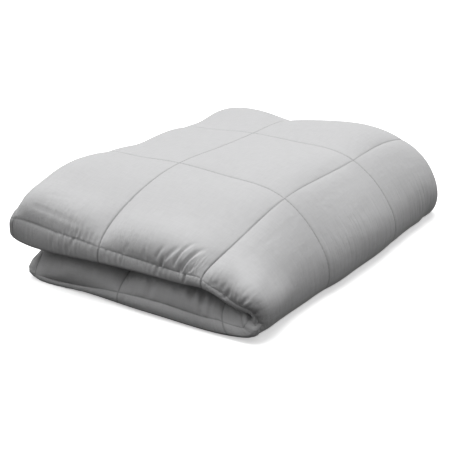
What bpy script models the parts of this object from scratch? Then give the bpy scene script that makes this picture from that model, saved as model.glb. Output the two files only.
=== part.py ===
"""A quilted weighted blanket, folded in half twice and lying on a flat surface.

The blanket is one filled solid. It is first folded across its length, so that two
plies lie together: the outer ply and the inner ply, joined by the back fold. The pair
is then folded across its width, round the side fold at +X. The hems of all four
layers face -Y, and the hems of the short ends face -X.

The cloth is described on its flat cut: u runs across the width, from the hem edge of
the upper layers, round the side fold, to the hem edge of the lower layers. v runs
along the length, from the inner ply's front hem (negative), over the back fold (0),
to the outer ply's front hem (positive). Heights and places in the tables are in
centimetres, of the smooth surface that the quilting seams lie in: the pockets puff out
on both sides of it.
"""

import math

import bpy
import numpy as np

CM = 0.01

# The flat cut, in centimetres: 91.4 x 122.0 with its hems
POCKETS_WIDE = 5
POCKETS_LONG = 6
POCKET_WIDTH = 17.4
POCKET_LENGTH = 19.6
HEM = 2.2
FLAT_WIDTH = POCKETS_WIDE * POCKET_WIDTH + 2 * HEM
FLAT_LENGTH = POCKETS_LONG * POCKET_LENGTH + 2 * HEM
HALF_LENGTH = FLAT_LENGTH / 2

# The filled cloth's thickness: at a quilting seam, and in the middle of a pocket in
# the upper layers, in the side fold (outer and inner ply) and in the lower layers
SEWN = 0.9
CROWN_UPPER = 3.3
CROWN_FOLD = 2.0
CROWN_LOWER = 2.65
INNER_CROWN_UPPER = 2.8
INNER_CROWN_FOLD = 1.2
HEM_ROLL = 1.3  # in the middle of the hem
HEM_LIP = 0.8  # at the hem's edge, before its round
LIP_ROUND = 0.35  # how far the hem's round edge stands out
FOLD_PRESS = 0.35  # how much thinner the inner ply is pressed inside the side fold
PUFF = 0.5  # below 1, the pockets are flat-topped; 1 is a plain hump
LOFT_SPREAD = 0.05  # how much the pockets differ in fullness
OUTER_SHOW = 0.28  # the share of the puff on the outer ply's show side
INNER_SHOW = 0.42

# Quilting seams across the width, as places on the flat cut
SEAMS_U = [HEM + POCKET_WIDTH * i for i in range(POCKETS_WIDE + 1)]
SEAM_1, SEAM_2, SEAM_3, SEAM_4 = SEAMS_U[1:5]
SEAMS_V = [POCKET_LENGTH * (i - POCKETS_LONG / 2) for i in range(POCKETS_LONG + 1)]

# The surface that the outer ply's seams lie in, upper layer: one row for each section
# from the front hem to the back. Its place on the flat cut and in space, its height at
# the left hem's edge and seam, in the left pocket, at the first seam, in the middle
# pocket and at the second seam, how far right the side fold reaches, and where the same
# section lies in the lowest layer.
OUTER_COLUMNS = (
    "cut y left_edge left_seam left_mid seam_1 middle seam_2 fold_x base_y".split()
)
OUTER_ROWS = {
    "hem edge": (61.0, -17.9, 6.3, 5.8, 5.4, 5.8, 6.0, 5.9, -0.10, -16.4),
    "hem seam": (58.8, -18.1, 8.2, 8.4, 8.1, 7.6, 7.3, 6.8, -0.05, -14.9),
    "brow": (54.3, -14.9, 9.2, 11.0, 11.2, 10.5, 10.1, 8.9, 0.10, -11.7),
    "rise": (49.0, -9.6, 9.3, 11.8, 12.8, 12.5, 11.9, 10.4, 0.25, -7.6),
    "front seam": (39.2, 0.0, 9.0, 11.3, 13.5, 13.9, 13.5, 12.2, 0.30, 0.2),
    "between": (29.4, 9.7, 8.8, 10.7, 12.7, 13.4, 13.3, 12.2, 0.30, 9.9),
    "back seam": (19.6, 19.5, 8.5, 10.4, 12.5, 13.0, 13.0, 12.0, 0.20, 19.6),
    "shoulder": (8.0, 30.6, 7.8, 9.8, 11.9, 11.5, 12.5, 11.8, 0.45, 30.8),
    "fold start": (4.0, 34.0, 7.5, 9.1, 11.0, 10.2, 11.7, 11.1, 0.45, 34.2),
}

# The inner ply the same way: how far its upper layer lies under the outer ply, then
# its lower layer's place and its height at the third seam, in the middle pocket, at the
# fourth seam, in the left pocket, at the left hem's seam and edge, and how far right its
# own fold reaches inside the side fold.
INNER_COLUMNS = (
    "cut under y seam_3 middle seam_4 left_mid left_seam left_edge fold_x".split()
)
INNER_ROWS = {
    "hem edge": (61.0, 2.9, -18.0, 0.60, 0.60, 0.60, 0.55, 0.60, 0.80, -1.5),
    "hem seam": (58.8, 3.5, -17.6, 1.90, 2.00, 1.75, 0.95, 1.05, 1.30, -1.8),
    "brow": (54.3, 4.1, -14.6, 3.60, 3.65, 3.95, 3.75, 3.80, 2.50, -3.4),
    "rise": (49.0, 4.5, -9.6, 4.10, 4.10, 4.40, 4.20, 4.10, 2.60, -4.2),
    "front seam": (39.2, 4.6, 0.1, 4.40, 4.45, 4.45, 4.30, 4.10, 2.65, -4.3),
    "between": (29.4, 4.6, 9.9, 4.40, 4.45, 4.45, 4.30, 4.10, 2.65, -4.3),
    "back seam": (19.6, 4.5, 19.6, 4.40, 4.45, 4.45, 4.30, 4.10, 2.65, -4.3),
    "shoulder": (8.0, 4.2, 31.0, 4.35, 4.40, 4.30, 3.90, 3.80, 2.50, -4.3),
    "fold start": (4.0, 3.8, 34.0, 4.10, 4.15, 4.00, 3.60, 3.50, 2.40, -4.2),
}

# Where the layers lie across the width, at the same stations as the heights
OUTER_UPPER_X = (-38.6, -38.0, -31.2, -23.2, -14.6, -6.0)
OUTER_LOWER_X = (-2.8, -11.2, -19.6, -27.6, -33.6, -34.6)
INNER_LEFT_X = (-37.0, -35.2)  # the inner ply's upper layer: its left hem's edge, seam
INNER_LOWER_X = (-6.2, -12.6, -20.4, -28.8, -35.2, -36.5)
UPPER_CUT = (0, HEM, (HEM + SEAM_1) / 2, SEAM_1, (SEAM_1 + SEAM_2) / 2, SEAM_2)
LOWER_CUT = tuple(FLAT_WIDTH - cut for cut in reversed(UPPER_CUT))

UNDER_SHARES = (1.05, 1.25, 1.15, 1.0, 1.0, 1.0)  # of its depth, from the left
INNER_SET_BACK = 0.923  # the inner ply's upper layer is drawn back to this share
HEM_FLARE = 2.7  # the inner ply's third seam runs this far right at the front hem
BASE_HEIGHT = 0.68  # the lowest layer's seams; its pockets are pressed flat at 0
LOWEST_SET_BACK = 1.6  # left of the side fold, the lowest layer's hem is drawn back
SIDEWAYS = 0.55  # how much the inner ply leans in under the outer ply's slopes

# The side fold's shape, from the second seam to the third: its place on the cut, how
# far it reaches right and how high it is, as shares of the whole, at the front hem and
# further back, for the outer ply and then for the inner one
FOLD_FRONT = {
    "shoulder": (0.18, 0.40, 0.93),
    "flank": (0.42, 0.90, 0.62),
    "belly": (0.62, 1.00, 0.27),
    "heel": (0.82, 0.75, 0.01),
}
FOLD_BACK = {
    "shoulder": (0.18, 0.40, 0.84),
    "flank": (0.42, 0.80, 0.56),
    "belly": (0.62, 1.00, 0.29),
    "heel": (0.82, 0.86, 0.02),
}
INNER_FOLD_FRONT = {
    "shoulder": (0.18, 0.32, 0.98),
    "flank": (0.42, 0.78, 0.77),
    "belly": (0.62, 1.00, 0.43),
    "heel": (0.82, 0.84, 0.11),
}
INNER_FOLD_BACK = {
    "shoulder": (0.18, 0.45, 1.01),
    "flank": (0.42, 0.86, 0.84),
    "belly": (0.62, 1.00, 0.48),
    "heel": (0.82, 0.70, 0.12),
}

# The mesh: places of the rows of points inside one pocket, as shares of it
POCKET_STEPS = (0.0, 0.08, 0.29, 0.5, 0.71, 0.92)
SIDE_FOLD_STEPS = (0.0, 0.08, 0.2, 0.33, 0.46, 0.59, 0.72, 0.85, 0.94)
BACK_FOLD_CUTS = (-4.2, -2.7, -1.4, -0.7, 0.7, 1.4, 2.7, 4.2)
HEM_STEPS = (0.0, 0.5)

CLOTH_COLOUR = (0.52, 0.52, 0.53, 1.0)


def spline_weights(knots, places):
    """Weights that give a smooth (natural cubic) curve through values at the knots."""
    knots = np.asarray(knots, float)
    places = np.asarray(places, float)
    count = len(knots)
    gap = np.diff(knots)
    bend = np.zeros((count, count))
    load = np.zeros((count, count))
    bend[0, 0] = bend[-1, -1] = 1.0
    for i in range(1, count - 1):
        bend[i, i - 1 : i + 2] = gap[i - 1], 2 * (gap[i - 1] + gap[i]), gap[i]
        load[i, i - 1] = 6 / gap[i - 1]
        load[i, i] = -6 / gap[i - 1] - 6 / gap[i]
        load[i, i + 1] = 6 / gap[i]
    curvature = np.linalg.solve(bend, load)
    cell = np.clip(np.searchsorted(knots, places) - 1, 0, count - 2)
    width = gap[cell]
    after = (places - knots[cell]) / width
    before = 1 - after
    weights = np.zeros((len(places), count))
    row = np.arange(len(places))
    weights[row, cell] += before
    weights[row, cell + 1] += after
    weights += ((before**3 - before) * width**2 / 6)[:, None] * curvature[cell]
    weights += ((after**3 - after) * width**2 / 6)[:, None] * curvature[cell + 1]
    return weights


def column(rows, names, name):
    return np.array([row[names.index(name)] for row in rows.values()], float)


def fold_section(start, end, reach_x, shape):
    """Points of the side fold between the second and the third seam, as (x, z)."""
    points = []
    for place, reach, height in shape:
        side = start if place < 0.62 else end
        x = side[0] + reach * (reach_x - side[0])
        points.append((x, end[1] + height * (start[1] - end[1])))
    return points


def section(upper_x, upper_z, lower_x, lower_z, reach_x, shape):
    """One section across the width, from the upper hem's edge to the lower one."""
    fold = fold_section(
        (upper_x[-1], upper_z[-1]), (lower_x[0], lower_z[0]), reach_x, shape
    )
    x = [*upper_x, *(point[0] for point in fold), *lower_x]
    z = [*upper_z, *(point[1] for point in fold), *lower_z]
    return x, z


def blend_y(upper_y, lower_y):
    """The y of one section: the upper layer's, then the lower one's past the fold."""
    shares = [place for place, _, _ in FOLD_FRONT.values()]
    upper = np.broadcast_to(upper_y, len(UPPER_CUT))
    lower = np.broadcast_to(lower_y, len(LOWER_CUT))
    middle = [upper[-1] + share * (lower[0] - upper[-1]) for share in shares]
    return [*upper, *middle, *lower]


def shape_between(back, front, to_front):
    """The side fold's shape at a share of the way from the back to the front hem."""
    back, front = (np.array(list(shape.values())) for shape in (back, front))
    return back + (front - back) * to_front


def to_front_hem(cut):
    """0 up to the front seam, then rising to 1 at the front hem."""
    return np.clip((cut - SEAMS_V[5]) / (HALF_LENGTH - SEAMS_V[5]), 0, 1)


def outer_net():
    """The outer ply's sections, from the front hem to where the back fold starts."""
    net = []
    cut, y, reach, base_y = (
        column(OUTER_ROWS, OUTER_COLUMNS, n) for n in ("cut", "y", "fold_x", "base_y")
    )
    heights = np.array([row[2:8] for row in OUTER_ROWS.values()], float)
    to_front = to_front_hem(cut)
    drawn_back = np.array([0, 1, 1, 1, 1, 1]) * LOWEST_SET_BACK
    for i in range(len(cut)):
        x, z = section(
            OUTER_UPPER_X, heights[i], OUTER_LOWER_X, [BASE_HEIGHT] * 6, reach[i],
            shape_between(FOLD_BACK, FOLD_FRONT, to_front[i]),
        )
        lower_y = base_y[i] + drawn_back * to_front[i]
        net.append(np.array([x, blend_y(y[i], lower_y), z]).T)
    return cut, np.array(net)


def inner_net(outer_cut, outer):
    """The inner ply's sections, its upper layer lying under the outer ply's."""
    cut, under, y, reach = (
        column(INNER_ROWS, INNER_COLUMNS, n) for n in ("cut", "under", "y", "fold_x")
    )
    heights = np.array([row[3:9] for row in INNER_ROWS.values()], float)
    drawn = np.maximum(cut * INNER_SET_BACK, outer_cut[-1])
    stations = all_stations()
    places = spread_net(outer_cut, outer, stations, drawn)
    out = normals(places, stations, drawn) * (SIDEWAYS, SIDEWAYS, 1.0)
    depth = np.array(UNDER_SHARES)[:, None] * under
    upper = places[: len(UPPER_CUT)] - out[: len(UPPER_CUT)] * depth[:, :, None]
    upper[:2, :, 0] = np.array(INNER_LEFT_X)[:, None]
    to_front = to_front_hem(cut)
    net = []
    for i in range(len(cut)):
        lower_x = list(INNER_LOWER_X)
        lower_x[0] += HEM_FLARE * (cut[i] / cut[0]) ** 8
        x, z = section(
            upper[:, i, 0], upper[:, i, 2], lower_x, heights[i], reach[i],
            shape_between(INNER_FOLD_BACK, INNER_FOLD_FRONT, to_front[i]),
        )
        net.append(np.array([x, blend_y(upper[:, i, 1], y[i]), z]).T)
    return cut, np.array(net)


def all_stations():
    fold = [SEAM_2 + place * POCKET_WIDTH for place, _, _ in FOLD_FRONT.values()]
    return np.array([*UPPER_CUT, *fold, *LOWER_CUT])


def spread_net(rows_v, net, cut_u, cut_v):
    """The smooth surface through a net's points, at places of the flat cut."""
    order = np.argsort(rows_v)
    along_v = spline_weights(np.asarray(rows_v)[order], cut_v)
    along_u = spline_weights(all_stations(), cut_u)
    return np.einsum("ja,abc,ib->ijc", along_v, net[order], along_u)


def seam_surface(cut_u, cut_v):
    """Places in space of the surface that the seams lie in, on a grid of the cut."""
    outer_cut, outer = outer_net()
    inner_cut, inner = inner_net(outer_cut, outer)
    start, end = outer[-1], inner[-1]
    centre, half = (start + end) / 2, (start - end) / 2
    radius = np.linalg.norm(half, axis=1)[:, None]
    behind = np.array([[0.0, 1.0, 0.0]]) - half * half[:, 1:2] / radius**2
    behind /= np.linalg.norm(behind, axis=1)[:, None]
    turns = (math.radians(45), math.radians(90), math.radians(135))
    arc = [centre + half * math.cos(t) + radius * behind * math.sin(t) for t in turns]
    rows_v = [*-inner_cut, *(outer_cut[-1] * (1 - t / math.pi * 2) for t in turns)]
    net = np.concatenate([inner, arc, outer])
    return spread_net([*rows_v, *outer_cut], net, cut_u, cut_v)


def hump(places, seams):
    """0 at each seam and 1 halfway between two; 0 outside the outermost seams."""
    share = np.zeros(len(places))
    for low, high in zip(seams[:-1], seams[1:]):
        inside = (places >= low) & (places <= high)
        t = (places[inside] - low) / (high - low)
        share[inside] = 4 * t * (1 - t)
    return share


def pocket_loft(cut_u, cut_v):
    """How full each pocket is: 1, a little more or a little less."""
    across = np.clip((cut_u - HEM) // POCKET_WIDTH, 0, POCKETS_WIDE - 1)
    along = np.clip((cut_v - SEAMS_V[0]) // POCKET_LENGTH, 0, POCKETS_LONG - 1)
    wave = np.sin(2.1 * across[:, None] + 1.3) * np.cos(1.7 * along[None, :] + 0.4)
    return 1 + LOFT_SPREAD * wave


def crown(cut_u, cut_v):
    """The filling's thickness in the middle of a pocket, wherever that pocket lies."""
    places = [SEAM_2, SEAM_2 + 3, SEAM_3 - 3, SEAM_3]
    outer = [CROWN_UPPER, CROWN_FOLD, CROWN_FOLD, CROWN_LOWER]
    inner = [INNER_CROWN_UPPER, INNER_CROWN_FOLD, INNER_CROWN_FOLD, CROWN_LOWER]
    share = np.clip(0.5 + cut_v / 8, 0, 1)[None, :]
    outer = np.interp(cut_u, places, outer)[:, None]
    inner = np.interp(cut_u, places, inner)[:, None]
    return outer * share + inner * (1 - share)


def thickness(cut_u, cut_v):
    """The filled cloth's thickness on its show side and on its back side."""
    pillow = (hump(cut_u, SEAMS_U)[:, None] * hump(cut_v, SEAMS_V)[None, :]) ** PUFF
    puff = (crown(cut_u, cut_v) - SEWN) * pillow * pocket_loft(cut_u, cut_v)
    share = np.where(cut_v >= 0, OUTER_SHOW, INNER_SHOW)[None, :]
    from_side = np.minimum(cut_u, FLAT_WIDTH - cut_u)[:, None] + 0 * cut_v[None, :]
    from_end = (HALF_LENGTH - np.abs(cut_v))[None, :] + 0 * cut_u[:, None]
    from_edge = np.minimum(from_side, from_end)
    hem = np.clip(from_edge / HEM, 0, 1)
    roll = HEM_LIP + (SEWN - HEM_LIP) * hem + (HEM_ROLL - SEWN) * np.sin(math.pi * hem)
    in_hem = from_edge < HEM - 1e-6
    show = np.where(in_hem, roll / 2, SEWN / 2 + puff * share)
    back = np.where(in_hem, roll / 2, SEWN / 2 + puff * (1 - share))
    inner = np.clip(0.5 - cut_v / 8, 0, 1)[None, :]
    press = 1 - FOLD_PRESS * hump(cut_u, [SEAM_2, SEAM_3])[:, None] * inner
    return show * press, back * press


def normals(places, cut_u, cut_v):
    """Unit vectors out of the blanket's show side."""
    across = np.gradient(places, cut_u, axis=0)
    along = np.gradient(places, cut_v, axis=1)
    out = -np.cross(across, along)
    return out / np.linalg.norm(out, axis=2)[:, :, None]


def mesh_places():
    """The mesh's rows across the width and along the length, on the flat cut."""
    cut_u = [HEM * step for step in HEM_STEPS]
    for i, seam in enumerate(SEAMS_U[:-1]):
        steps = SIDE_FOLD_STEPS if seam == SEAM_2 else POCKET_STEPS
        cut_u += [seam + POCKET_WIDTH * step for step in steps]
    cut_u += [FLAT_WIDTH - HEM * step for step in (1.0, 0.5, 0.0)]
    cut_v = [-HALF_LENGTH + HEM * step for step in HEM_STEPS]
    for seam in SEAMS_V[:-1]:
        steps = [seam + POCKET_LENGTH * step for step in POCKET_STEPS]
        cut_v += [v for v in steps if abs(v) > max(BACK_FOLD_CUTS) or v == 0]
    cut_v += [HALF_LENGTH - HEM * step for step in (1.0, 0.5, 0.0)]
    cut_v += BACK_FOLD_CUTS
    return np.array(sorted(cut_u)), np.array(sorted(cut_v))


def blanket_mesh(cut_u, cut_v):
    """Points and faces of the closed solid: show side, back side and round edge."""
    middle = seam_surface(cut_u, cut_v)
    out = normals(middle, cut_u, cut_v)
    front_half, back_half = thickness(cut_u, cut_v)
    show = middle + out * front_half[:, :, None]
    back = middle - out * back_half[:, :, None]
    across = np.gradient(middle, cut_u, axis=0)
    along = np.gradient(middle, cut_v, axis=1)
    nu, nv = len(cut_u), len(cut_v)
    border = [(i, 0) for i in range(nu)] + [(nu - 1, j) for j in range(1, nv)]
    border += [(i, nv - 1) for i in range(nu - 2, -1, -1)]
    border += [(0, j) for j in range(nv - 2, 0, -1)]
    lips = []
    for i, j in border:
        away = across[i, j] * ((i == nu - 1) - (i == 0))
        away = away + along[i, j] * ((j == nv - 1) - (j == 0))
        lips.append(middle[i, j] + away / np.linalg.norm(away) * LIP_ROUND)
    points = np.concatenate([show.reshape(-1, 3), back.reshape(-1, 3), lips])
    points[:, 2] = np.maximum(points[:, 2], 0)
    faces = []
    for i in range(nu - 1):
        for j in range(nv - 1):
            a, b = i * nv + j, (i + 1) * nv + j
            faces.append((a, a + 1, b + 1, b))
            low = nu * nv
            faces.append((low + a, low + b, low + b + 1, low + a + 1))
    count = len(border)
    for k in range(count):
        (i, j), (p, q) = border[k], border[(k + 1) % count]
        a, b = i * nv + j, p * nv + q
        lip_a, lip_b = 2 * nu * nv + k, 2 * nu * nv + (k + 1) % count
        faces.append((a, b, lip_b, lip_a))
        faces.append((lip_a, lip_b, nu * nv + b, nu * nv + a))
    return points, faces


def cloth_material():
    material = bpy.data.materials.new("cotton")
    material.use_nodes = True
    shader = material.node_tree.nodes["Principled BSDF"]
    shader.inputs["Base Color"].default_value = CLOTH_COLOUR
    shader.inputs["Roughness"].default_value = 0.9
    shader.inputs["Metallic"].default_value = 0.0
    return material


def build_blanket():
    points, faces = blanket_mesh(*mesh_places())
    middle = (points.min(axis=0) + points.max(axis=0)) / 2
    points[:, :2] -= middle[:2]
    mesh = bpy.data.meshes.new("blanket")
    mesh.from_pydata((points * CM).tolist(), [], faces)
    mesh.materials.append(cloth_material())
    mesh.shade_smooth()
    blanket = bpy.data.objects.new("blanket", mesh)
    bpy.context.scene.collection.objects.link(blanket)
    return blanket


for stale in list(bpy.data.objects):
    bpy.data.objects.remove(stale)
build_blanket()
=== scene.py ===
import math

import bpy
import numpy as np
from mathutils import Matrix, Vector


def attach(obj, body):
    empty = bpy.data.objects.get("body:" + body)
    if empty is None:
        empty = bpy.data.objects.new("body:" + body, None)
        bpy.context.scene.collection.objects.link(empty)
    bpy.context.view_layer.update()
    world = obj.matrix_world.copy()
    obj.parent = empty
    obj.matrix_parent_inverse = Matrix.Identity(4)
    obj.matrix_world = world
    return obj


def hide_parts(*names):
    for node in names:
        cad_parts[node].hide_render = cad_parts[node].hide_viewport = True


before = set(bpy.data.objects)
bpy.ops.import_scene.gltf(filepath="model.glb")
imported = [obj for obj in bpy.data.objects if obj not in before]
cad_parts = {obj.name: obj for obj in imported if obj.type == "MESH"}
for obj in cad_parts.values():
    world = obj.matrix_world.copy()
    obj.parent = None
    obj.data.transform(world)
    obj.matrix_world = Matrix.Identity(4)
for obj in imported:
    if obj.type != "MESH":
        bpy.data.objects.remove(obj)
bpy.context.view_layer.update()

cm = 0.01

# the flat cut, in centimetres; u runs across it, v along it from one front hem over the
# back fold (0) to the other front hem
cut = {
    "pocketsWide": 5,
    "pocketsLong": 6,
    "pocketWidth": 17.4,
    "pocketLength": 19.6,
    "hem": 2.2,
}
flatWidth = cut["pocketsWide"] * cut["pocketWidth"] + 2 * cut["hem"]
flatLength = cut["pocketsLong"] * cut["pocketLength"] + 2 * cut["hem"]
halfLength = flatLength / 2
seamsU = [cut["hem"] + cut["pocketWidth"] * i for i in range(cut["pocketsWide"] + 1)]
seamsV = [cut["pocketLength"] * (i - cut["pocketsLong"] / 2) for i in range(cut["pocketsLong"] + 1)]
seam1, seam2, seam3, seam4 = seamsU[1:5]

# how the blanket lies: the surface that the seams lie in, in centimetres
lie = {
    "middle": (-18.825, 9.294),  # of the folded blanket, in the tables' own x and y
    "outerColumns": "cut y leftEdge leftSeam leftMid seam1 middle seam2 foldX baseY".split(),
    "outerRows": {
        "hem edge": (61.0, -17.9, 6.3, 5.8, 5.4, 5.8, 6.0, 5.9, -0.10, -16.4),
        "hem seam": (58.8, -18.1, 8.2, 8.4, 8.1, 7.6, 7.3, 6.8, -0.05, -14.9),
        "brow": (54.3, -14.9, 9.2, 11.0, 11.2, 10.5, 10.1, 8.9, 0.10, -11.7),
        "rise": (49.0, -9.6, 9.3, 11.8, 12.8, 12.5, 11.9, 10.4, 0.25, -7.6),
        "front seam": (39.2, 0.0, 9.0, 11.3, 13.5, 13.9, 13.5, 12.2, 0.30, 0.2),
        "between": (29.4, 9.7, 8.8, 10.7, 12.7, 13.4, 13.3, 12.2, 0.30, 9.9),
        "back seam": (19.6, 19.5, 8.5, 10.4, 12.5, 13.0, 13.0, 12.0, 0.20, 19.6),
        "shoulder": (8.0, 30.6, 7.8, 9.8, 11.9, 11.5, 12.5, 11.8, 0.45, 30.8),
        "fold start": (4.0, 34.0, 7.5, 9.1, 11.0, 10.2, 11.7, 11.1, 0.45, 34.2),
    },
    "innerColumns": "cut under y seam3 middle seam4 leftMid leftSeam leftEdge foldX".split(),
    "innerRows": {
        "hem edge": (61.0, 2.9, -18.0, 0.60, 0.60, 0.60, 0.55, 0.60, 0.80, -1.5),
        "hem seam": (58.8, 3.5, -17.6, 1.90, 2.00, 1.75, 0.95, 1.05, 1.30, -1.8),
        "brow": (54.3, 4.1, -14.6, 3.60, 3.65, 3.95, 3.75, 3.80, 2.50, -3.4),
        "rise": (49.0, 4.5, -9.6, 4.10, 4.10, 4.40, 4.20, 4.10, 2.60, -4.2),
        "front seam": (39.2, 4.6, 0.1, 4.40, 4.45, 4.45, 4.30, 4.10, 2.65, -4.3),
        "between": (29.4, 4.6, 9.9, 4.40, 4.45, 4.45, 4.30, 4.10, 2.65, -4.3),
        "back seam": (19.6, 4.5, 19.6, 4.40, 4.45, 4.45, 4.30, 4.10, 2.65, -4.3),
        "shoulder": (8.0, 4.2, 31.0, 4.35, 4.40, 4.30, 3.90, 3.80, 2.50, -4.3),
        "fold start": (4.0, 3.8, 34.0, 4.10, 4.15, 4.00, 3.60, 3.50, 2.40, -4.2),
    },
    "outerUpperX": (-38.6, -38.0, -31.2, -23.2, -14.6, -6.0),
    "outerLowerX": (-2.8, -11.2, -19.6, -27.6, -33.6, -34.6),
    "innerLeftX": (-37.0, -35.2),
    "innerLowerX": (-6.2, -12.6, -20.4, -28.8, -35.2, -36.5),
    "underShares": (1.05, 1.25, 1.15, 1.0, 1.0, 1.0),
    "innerSetBack": 0.923,
    "hemFlare": 2.7,
    "hemFlareSharp": 8,  # how close to the hem the flare stays
    "baseHeight": 0.68,
    "lowestSetBack": 1.6,
    "sideways": 0.55,
}

# the side fold from the second seam to the third: place on the cut, reach, height
foldShapes = {
    "outerFront": ((0.18, 0.40, 0.93), (0.42, 0.90, 0.62), (0.62, 1.00, 0.27), (0.82, 0.75, 0.01)),
    "outerBack": ((0.18, 0.40, 0.84), (0.42, 0.80, 0.56), (0.62, 1.00, 0.29), (0.82, 0.86, 0.02)),
    "innerFront": ((0.18, 0.32, 0.98), (0.42, 0.78, 0.77), (0.62, 1.00, 0.43), (0.82, 0.84, 0.11)),
    "innerBack": ((0.18, 0.45, 1.01), (0.42, 0.86, 0.84), (0.62, 1.00, 0.48), (0.82, 0.70, 0.12)),
}
foldPlaces = [place for place, _, _ in foldShapes["outerFront"]]
upperCut = [0, cut["hem"], (cut["hem"] + seam1) / 2, seam1, (seam1 + seam2) / 2, seam2]
lowerCut = [flatWidth - place for place in reversed(upperCut)]
stations = np.array([*upperCut, *(seam2 + s * cut["pocketWidth"] for s in foldPlaces), *lowerCut])
plyStations = len(upperCut)


def splineWeights(knots, places):
    # weights of a natural cubic curve through values at the knots
    knots, places = np.asarray(knots, float), np.asarray(places, float)
    count, gap = len(knots), np.diff(knots)
    bend, load = np.zeros((count, count)), np.zeros((count, count))
    bend[0, 0] = bend[-1, -1] = 1.0
    for i in range(1, count - 1):
        bend[i, i - 1:i + 2] = gap[i - 1], 2 * (gap[i - 1] + gap[i]), gap[i]
        load[i, i - 1:i + 2] = 6 / gap[i - 1], -6 / gap[i - 1] - 6 / gap[i], 6 / gap[i]
    curvature = np.linalg.solve(bend, load)
    cell = np.clip(np.searchsorted(knots, places) - 1, 0, count - 2)
    width = gap[cell]
    after = (places - knots[cell]) / width
    before = 1 - after
    weights, row = np.zeros((len(places), count)), np.arange(len(places))
    weights[row, cell] += before
    weights[row, cell + 1] += after
    weights += ((before**3 - before) * width**2 / 6)[:, None] * curvature[cell]
    weights += ((after**3 - after) * width**2 / 6)[:, None] * curvature[cell + 1]
    return weights


def tableColumn(which, name):
    place = lie[which + "Columns"].index(name)
    return np.array([row[place] for row in lie[which + "Rows"].values()], float)


def tableHeights(which):
    # they stand between the columns for y and for the side fold's reach
    columns = lie[which + "Columns"]
    first, last = columns.index("y") + 1, columns.index("foldX")
    return np.array([row[first:last] for row in lie[which + "Rows"].values()], float)


def oneSection(upperX, upperZ, lowerX, lowerZ, reachX, shape):
    # x and z across the width, from the upper hem's edge round the side fold
    fold = []
    for place, reach, height in shape:
        sideX = upperX[-1] if place < foldPlaces[2] else lowerX[0]
        fold.append((sideX + reach * (reachX - sideX),
                     lowerZ[0] + height * (upperZ[-1] - lowerZ[0])))
    return [*upperX, *(p[0] for p in fold), *lowerX], [*upperZ, *(p[1] for p in fold), *lowerZ]


def sectionY(upperY, lowerY):
    upper, lower = np.broadcast_to(upperY, plyStations), np.broadcast_to(lowerY, plyStations)
    return [*upper, *(upper[-1] + s * (lower[0] - upper[-1]) for s in foldPlaces), *lower]


def foldBetween(which, toFront):
    back, front = np.array(foldShapes[which + "Back"]), np.array(foldShapes[which + "Front"])
    return back + (front - back) * toFront


def towardsHem(places):
    return np.clip((places - seamsV[5]) / (halfLength - seamsV[5]), 0, 1)


def outerNet():
    cuts, y, reach, baseY = (tableColumn("outer", n) for n in ("cut", "y", "foldX", "baseY"))
    heights = tableHeights("outer")
    toFront = towardsHem(cuts)
    drawnBack = np.array([0] + [1] * (plyStations - 1)) * lie["lowestSetBack"]
    net = []
    for i in range(len(cuts)):
        x, z = oneSection(lie["outerUpperX"], heights[i], lie["outerLowerX"],
                          [lie["baseHeight"]] * plyStations, reach[i], foldBetween("outer", toFront[i]))
        net.append(np.array([x, sectionY(y[i], baseY[i] + drawnBack * toFront[i]), z]).T)
    return cuts, np.array(net)


def innerNet(outerCuts, outer):
    cuts, under, y, reach = (tableColumn("inner", n) for n in ("cut", "under", "y", "foldX"))
    heights = tableHeights("inner")
    drawn = np.maximum(cuts * lie["innerSetBack"], outerCuts[-1])
    places = spreadNet(outerCuts, outer, stations, drawn)
    out = outwards(places, stations, drawn) * (lie["sideways"], lie["sideways"], 1.0)
    depth = np.array(lie["underShares"])[:, None] * under
    upper = places[:plyStations] - out[:plyStations] * depth[:, :, None]
    upper[:len(lie["innerLeftX"]), :, 0] = np.array(lie["innerLeftX"])[:, None]
    toFront = towardsHem(cuts)
    net = []
    for i in range(len(cuts)):
        lowerX = list(lie["innerLowerX"])
        lowerX[0] += lie["hemFlare"] * (cuts[i] / cuts[0]) ** lie["hemFlareSharp"]
        x, z = oneSection(upper[:, i, 0], upper[:, i, 2], lowerX, heights[i], reach[i],
                          foldBetween("inner", toFront[i]))
        net.append(np.array([x, sectionY(upper[:, i, 1], y[i]), z]).T)
    return cuts, np.array(net)


def spreadNet(rowsV, net, cutU, cutV):
    order = np.argsort(rowsV)
    alongV = splineWeights(np.asarray(rowsV)[order], cutV)
    alongU = splineWeights(stations, cutU)
    return np.einsum("ja,abc,ib->ijc", alongV, net[order], alongU, optimize=True)


def seamSurface(cutU, cutV):
    # the smooth surface that the quilting seams lie in
    outerCuts, outer = outerNet()
    innerCuts, inner = innerNet(outerCuts, outer)
    start, end = outer[-1], inner[-1]
    centre, half = (start + end) / 2, (start - end) / 2
    radius = np.linalg.norm(half, axis=1)[:, None]
    behind = np.array([[0.0, 1.0, 0.0]]) - half * half[:, 1:2] / radius**2
    behind /= np.linalg.norm(behind, axis=1)[:, None]
    turns = [math.radians(angle) for angle in (45, 90, 135)]
    arc = [centre + half * math.cos(t) + radius * behind * math.sin(t) for t in turns]
    rowsV = [*-innerCuts, *(outerCuts[-1] * (1 - t / math.pi * 2) for t in turns), *outerCuts]
    return spreadNet(rowsV, np.concatenate([inner, arc, outer]), cutU, cutV)


def outwards(places, cutU, cutV):
    across = np.gradient(places, cutU, axis=0)
    along = np.gradient(places, cutV, axis=1)
    out = -np.cross(across, along)
    return out / np.linalg.norm(out, axis=2)[:, :, None]


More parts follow.
